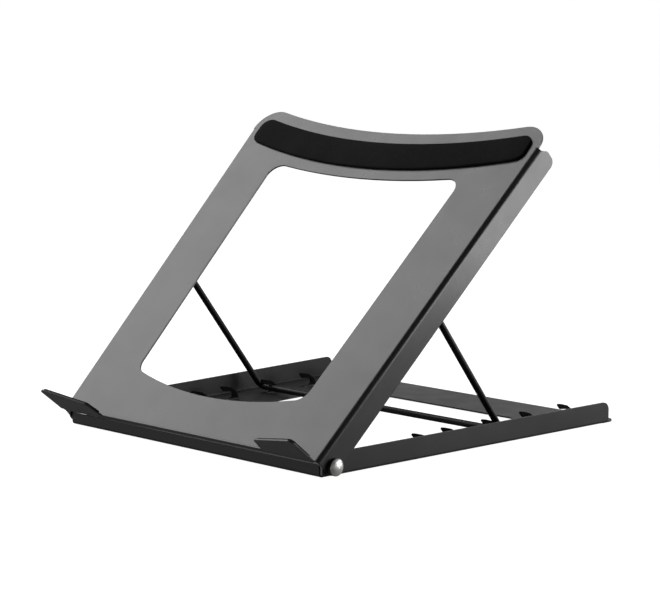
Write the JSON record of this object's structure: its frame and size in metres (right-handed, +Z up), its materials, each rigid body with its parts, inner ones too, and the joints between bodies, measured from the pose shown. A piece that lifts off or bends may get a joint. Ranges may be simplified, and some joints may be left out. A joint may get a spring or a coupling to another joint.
{
  "type": "folding laptop stand",
  "caption": "Folding sheet-metal laptop stand with a hinged tilting platform, a front lip with two tabs, and a U-shaped wire prop that drops into hooks on the base.",
  "frame": {"origin": "middle of the stand's footprint at floor level, in the stored pose", "axes": "+Z up, +Y from the front lip to the back, +X to the right for someone facing the lip"},
  "size_m": [0.2938, 0.3274, 0.223],
  "materials": {
    "base_paint": "fine satin powder coat",
    "platform_paint": "fine satin powder coat",
    "bracket_paint": "fine satin powder coat",
    "wire_paint": "semi-gloss black coat",
    "nickel": "bright nickel plate",
    "zinc": "zinc plate",
    "collar_plastic": "moulded black",
    "cap_plastic": "moulded black",
    "foam": "matte closed-cell foam",
    "foot_rubber": "matte rubber"
  },
  "bodies": {
    "base": {"base_frame": "base_paint", "foot_front_left": "foot_rubber", "foot_front_right": "foot_rubber", "foot_rear_left": "foot_rubber", "foot_rear_right": "foot_rubber", "hinge_rivet_left": "nickel", "hinge_rivet_right": "nickel", "hinge_collar_left": "collar_plastic", "hinge_collar_right": "collar_plastic", "hinge_backing_washer_left": "zinc", "hinge_backing_washer_right": "zinc"},
    "platform": {"platform_plate": "platform_paint", "top_foam_strip": "foam", "lip_pad_left": "foam", "lip_pad_right": "foam", "pivot_bracket_left": "bracket_paint", "pivot_bracket_right": "bracket_paint"},
    "wire": {"support_wire": "wire_paint", "wire_cap_left": "cap_plastic", "wire_cap_right": "cap_plastic"}
  },
  "joints": [
    {"name": "platform_tilt", "type": "hinge", "parent": "base", "child": "platform", "pos_m": [0, -0.12617, 0.0077], "axis": [1, 0, 0], "range_deg": [-43.7, 14.9]},
    {"name": "wire_swing", "type": "hinge", "parent": "platform", "child": "wire", "pos_m": [0, -0.02425, 0.10455], "axis": [1, 0, 0], "range_deg": [-33, 96.4]}
  ],
  "couplings": [
    {"joint": "wire_swing", "follows": "platform_tilt", "ratio": -2.2}
  ]
}
